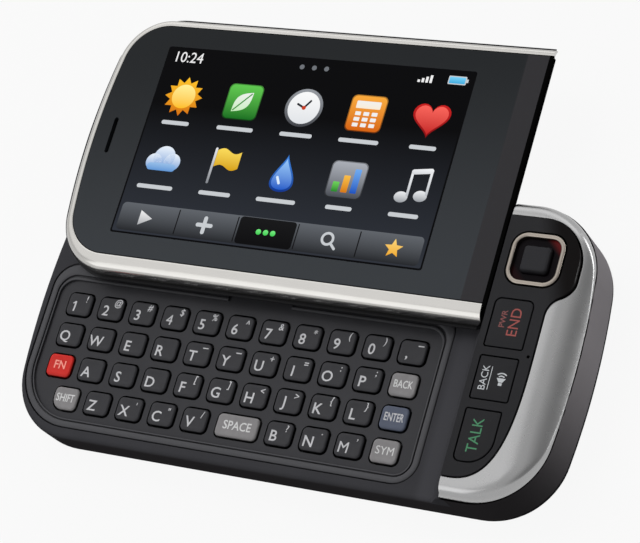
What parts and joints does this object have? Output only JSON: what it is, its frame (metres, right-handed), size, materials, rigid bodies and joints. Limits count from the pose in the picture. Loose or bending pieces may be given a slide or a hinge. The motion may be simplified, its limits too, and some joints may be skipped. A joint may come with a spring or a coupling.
{
  "type": "slider phone",
  "caption": "Landscape slider phone, open: a screen half that slides along two rods off a keyboard base with a raised end that holds the call keys.",
  "frame": {"origin": "middle of the base's flat back", "axes": "+X along the phone to the end with the call keys, +Y the way the screen half slides open, +Z out of the screen"},
  "size_m": [0.1118, 0.0859, 0.0173],
  "materials": {
    "back_black": "soft matt black moulding",
    "band_grey": "satin dark metallic paint",
    "panel_charcoal": "satin charcoal",
    "board": "green solder mask",
    "film": "amber film with steel domes",
    "cell_wrap": "grey wrap",
    "carriage_nylon": "black nylon",
    "lens_black": "gloss black",
    "speaker_can": "plain steel can",
    "screw_steel": "dark steel",
    "silver_cover": "fine silver metallic",
    "gloss_black": "semi gloss black",
    "bright_ring": "bright warm metal",
    "shell_black": "matt black",
    "bright_trim": "warm bright metal",
    "window_black": "black glass-like window",
    "display_glass": "display",
    "spring_steel": "plain steel",
    "nav_black": "gloss black",
    "side_key": "dark grey",
    "key_charcoal": "charcoal caps, white legends",
    "key_grey": "warm silver grey caps",
    "key_blue": "dark blue grey cap",
    "key_orange": "orange red cap"
  },
  "bodies": {
    "base": {"rear_shell": "back_black", "deck_frame": "band_grey", "keyboard_bezel": "panel_charcoal", "main_board": "board", "dome_sheet": "film", "battery": "cell_wrap", "slide_carriage": "carriage_nylon", "camera_module": "lens_black", "loudspeaker": "speaker_can", "case_screws": "screw_steel", "end_cover": "silver_cover", "end_panel": "gloss_black", "nav_ring": "bright_ring"},
    "battery_cover": {"battery_cover": "back_black"},
    "screen_half": {"slider_back_shell": "shell_black", "slider_trim": "bright_trim", "touch_window": "window_black", "display_module": "display_glass", "earpiece": "speaker_can", "slide_plate": "spring_steel", "slide_rails": "spring_steel"},
    "number_keys": {"number_keys": "key_charcoal"},
    "key_q": {"key_q": "key_charcoal"},
    "key_w": {"key_w": "key_charcoal"},
    "key_e": {"key_e": "key_charcoal"},
    "key_r": {"key_r": "key_charcoal"},
    "key_t": {"key_t": "key_charcoal"},
    "key_y": {"key_y": "key_charcoal"},
    "key_u": {"key_u": "key_charcoal"},
    "key_i": {"key_i": "key_charcoal"},
    "key_o": {"key_o": "key_charcoal"},
    "key_p": {"key_p": "key_charcoal"},
    "key_a": {"key_a": "key_charcoal"},
    "key_s": {"key_s": "key_charcoal"},
    "key_d": {"key_d": "key_charcoal"},
    "key_f": {"key_f": "key_charcoal"},
    "key_g": {"key_g": "key_charcoal"},
    "key_h": {"key_h": "key_charcoal"},
    "key_j": {"key_j": "key_charcoal"},
    "key_k": {"key_k": "key_charcoal"},
    "key_l": {"key_l": "key_charcoal"},
    "key_z": {"key_z": "key_charcoal"},
    "key_x": {"key_x": "key_charcoal"},
    "key_c": {"key_c": "key_charcoal"},
    "key_v": {"key_v": "key_charcoal"},
    "key_b": {"key_b": "key_charcoal"},
    "key_n": {"key_n": "key_charcoal"},
    "key_m": {"key_m": "key_charcoal"},
    "key_erase": {"key_erase": "key_grey"},
    "key_fn": {"key_fn": "key_orange"},
    "key_enter": {"key_enter": "key_blue"},
    "key_shift": {"key_shift": "key_grey"},
    "key_space": {"key_space": "key_grey"},
    "key_sym": {"key_sym": "key_grey"},
    "nav_key": {"nav_key": "nav_black"},
    "end_key": {"end_key": "gloss_black"},
    "back_key": {"back_key": "gloss_black"},
    "talk_key": {"talk_key": "gloss_black"},
    "volume_rocker": {"volume_rocker": "side_key"},
    "camera_key": {"camera_key": "side_key"}
  },
  "joints": [
    {"name": "display_slide", "type": "slide", "parent": "base", "child": "screen_half", "axis": [0, 1, 0], "range_m": [-0.0312, 0]},
    {"name": "battery_cover_slide", "type": "slide", "parent": "base", "child": "battery_cover", "axis": [-1, 0, 0], "range_m": [0, 0.006]},
    {"name": "nav_key_press", "type": "slide", "parent": "base", "child": "nav_key", "axis": [0, 0, 1], "range_m": [-0.0003, 0], "stiffness_N_per_m": 400, "springref_m": 0.0005},
    {"name": "end_key_press", "type": "slide", "parent": "base", "child": "end_key", "axis": [0, 0, 1], "range_m": [-0.0003, 0], "stiffness_N_per_m": 400, "springref_m": 0.0005},
    {"name": "back_key_press", "type": "slide", "parent": "base", "child": "back_key", "axis": [0, 0, 1], "range_m": [-0.0003, 0], "stiffness_N_per_m": 400, "springref_m": 0.0005},
    {"name": "talk_key_press", "type": "slide", "parent": "base", "child": "talk_key", "axis": [0, 0, 1], "range_m": [-0.0003, 0], "stiffness_N_per_m": 400, "springref_m": 0.0005},
    {"name": "volume_rocker_press", "type": "slide", "parent": "base", "child": "volume_rocker", "axis": [0, 1, 0], "range_m": [-0.0003, 0], "stiffness_N_per_m": 400, "springref_m": 0.0005},
    {"name": "camera_key_press", "type": "slide", "parent": "base", "child": "camera_key", "axis": [0, 1, 0], "range_m": [-0.0003, 0], "stiffness_N_per_m": 400, "springref_m": 0.0005},
    {"name": "number_keys_press", "type": "slide", "parent": "base", "child": "number_keys", "axis": [0, 0, 1], "range_m": [-0.00035, 0], "stiffness_N_per_m": 400, "springref_m": 0.0005},
    {"name": "key_erase_press", "type": "slide", "parent": "base", "child": "key_erase", "axis": [0, 0, 1], "range_m": [-0.00035, 0], "stiffness_N_per_m": 400, "springref_m": 0.0005},
    {"name": "key_fn_press", "type": "slide", "parent": "base", "child": "key_fn", "axis": [0, 0, 1], "range_m": [-0.00035, 0], "stiffness_N_per_m": 400, "springref_m": 0.0005},
    {"name": "key_enter_press", "type": "slide", "parent": "base", "child": "key_enter", "axis": [0, 0, 1], "range_m": [-0.00035, 0], "stiffness_N_per_m": 400, "springref_m": 0.0005},
    {"name": "key_shift_press", "type": "slide", "parent": "base", "child": "key_shift", "axis": [0, 0, 1], "range_m": [-0.00035, 0], "stiffness_N_per_m": 400, "springref_m": 0.0005},
    {"name": "key_space_press", "type": "slide", "parent": "base", "child": "key_space", "axis": [0, 0, 1], "range_m": [-0.00035, 0], "stiffness_N_per_m": 400, "springref_m": 0.0005},
    {"name": "key_sym_press", "type": "slide", "parent": "base", "child": "key_sym", "axis": [0, 0, 1], "range_m": [-0.00035, 0], "stiffness_N_per_m": 400, "springref_m": 0.0005},
    {"name": "key_q_press", "type": "slide", "parent": "base", "child": "key_q", "axis": [0, 0, 1], "range_m": [-0.00035, 0], "stiffness_N_per_m": 400, "springref_m": 0.0005},
    {"name": "key_w_press", "type": "slide", "parent": "base", "child": "key_w", "axis": [0, 0, 1], "range_m": [-0.00035, 0], "stiffness_N_per_m": 400, "springref_m": 0.0005},
    {"name": "key_e_press", "type": "slide", "parent": "base", "child": "key_e", "axis": [0, 0, 1], "range_m": [-0.00035, 0], "stiffness_N_per_m": 400, "springref_m": 0.0005},
    {"name": "key_r_press", "type": "slide", "parent": "base", "child": "key_r", "axis": [0, 0, 1], "range_m": [-0.00035, 0], "stiffness_N_per_m": 400, "springref_m": 0.0005},
    {"name": "key_t_press", "type": "slide", "parent": "base", "child": "key_t", "axis": [0, 0, 1], "range_m": [-0.00035, 0], "stiffness_N_per_m": 400, "springref_m": 0.0005},
    {"name": "key_y_press", "type": "slide", "parent": "base", "child": "key_y", "axis": [0, 0, 1], "range_m": [-0.00035, 0], "stiffness_N_per_m": 400, "springref_m": 0.0005},
    {"name": "key_u_press", "type": "slide", "parent": "base", "child": "key_u", "axis": [0, 0, 1], "range_m": [-0.00035, 0], "stiffness_N_per_m": 400, "springref_m": 0.0005},
    {"name": "key_i_press", "type": "slide", "parent": "base", "child": "key_i", "axis": [0, 0, 1], "range_m": [-0.00035, 0], "stiffness_N_per_m": 400, "springref_m": 0.0005},
    {"name": "key_o_press", "type": "slide", "parent": "base", "child": "key_o", "axis": [0, 0, 1], "range_m": [-0.00035, 0], "stiffness_N_per_m": 400, "springref_m": 0.0005},
    {"name": "key_p_press", "type": "slide", "parent": "base", "child": "key_p", "axis": [0, 0, 1], "range_m": [-0.00035, 0], "stiffness_N_per_m": 400, "springref_m": 0.0005},
    {"name": "key_a_press", "type": "slide", "parent": "base", "child": "key_a", "axis": [0, 0, 1], "range_m": [-0.00035, 0], "stiffness_N_per_m": 400, "springref_m": 0.0005},
    {"name": "key_s_press", "type": "slide", "parent": "base", "child": "key_s", "axis": [0, 0, 1], "range_m": [-0.00035, 0], "stiffness_N_per_m": 400, "springref_m": 0.0005},
    {"name": "key_d_press", "type": "slide", "parent": "base", "child": "key_d", "axis": [0, 0, 1], "range_m": [-0.00035, 0], "stiffness_N_per_m": 400, "springref_m": 0.0005},
    {"name": "key_f_press", "type": "slide", "parent": "base", "child": "key_f", "axis": [0, 0, 1], "range_m": [-0.00035, 0], "stiffness_N_per_m": 400, "springref_m": 0.0005},
    {"name": "key_g_press", "type": "slide", "parent": "base", "child": "key_g", "axis": [0, 0, 1], "range_m": [-0.00035, 0], "stiffness_N_per_m": 400, "springref_m": 0.0005},
    {"name": "key_h_press", "type": "slide", "parent": "base", "child": "key_h", "axis": [0, 0, 1], "range_m": [-0.00035, 0], "stiffness_N_per_m": 400, "springref_m": 0.0005},
    {"name": "key_j_press", "type": "slide", "parent": "base", "child": "key_j", "axis": [0, 0, 1], "range_m": [-0.00035, 0], "stiffness_N_per_m": 400, "springref_m": 0.0005},
    {"name": "key_k_press", "type": "slide", "parent": "base", "child": "key_k", "axis": [0, 0, 1], "range_m": [-0.00035, 0], "stiffness_N_per_m": 400, "springref_m": 0.0005},
    {"name": "key_l_press", "type": "slide", "parent": "base", "child": "key_l", "axis": [0, 0, 1], "range_m": [-0.00035, 0], "stiffness_N_per_m": 400, "springref_m": 0.0005},
    {"name": "key_z_press", "type": "slide", "parent": "base", "child": "key_z", "axis": [0, 0, 1], "range_m": [-0.00035, 0], "stiffness_N_per_m": 400, "springref_m": 0.0005},
    {"name": "key_x_press", "type": "slide", "parent": "base", "child": "key_x", "axis": [0, 0, 1], "range_m": [-0.00035, 0], "stiffness_N_per_m": 400, "springref_m": 0.0005},
    {"name": "key_c_press", "type": "slide", "parent": "base", "child": "key_c", "axis": [0, 0, 1], "range_m": [-0.00035, 0], "stiffness_N_per_m": 400, "springref_m": 0.0005},
    {"name": "key_v_press", "type": "slide", "parent": "base", "child": "key_v", "axis": [0, 0, 1], "range_m": [-0.00035, 0], "stiffness_N_per_m": 400, "springref_m": 0.0005},
    {"name": "key_b_press", "type": "slide", "parent": "base", "child": "key_b", "axis": [0, 0, 1], "range_m": [-0.00035, 0], "stiffness_N_per_m": 400, "springref_m": 0.0005},
    {"name": "key_n_press", "type": "slide", "parent": "base", "child": "key_n", "axis": [0, 0, 1], "range_m": [-0.00035, 0], "stiffness_N_per_m": 400, "springref_m": 0.0005},
    {"name": "key_m_press", "type": "slide", "parent": "base", "child": "key_m", "axis": [0, 0, 1], "range_m": [-0.00035, 0], "stiffness_N_per_m": 400, "springref_m": 0.0005}
  ]
}
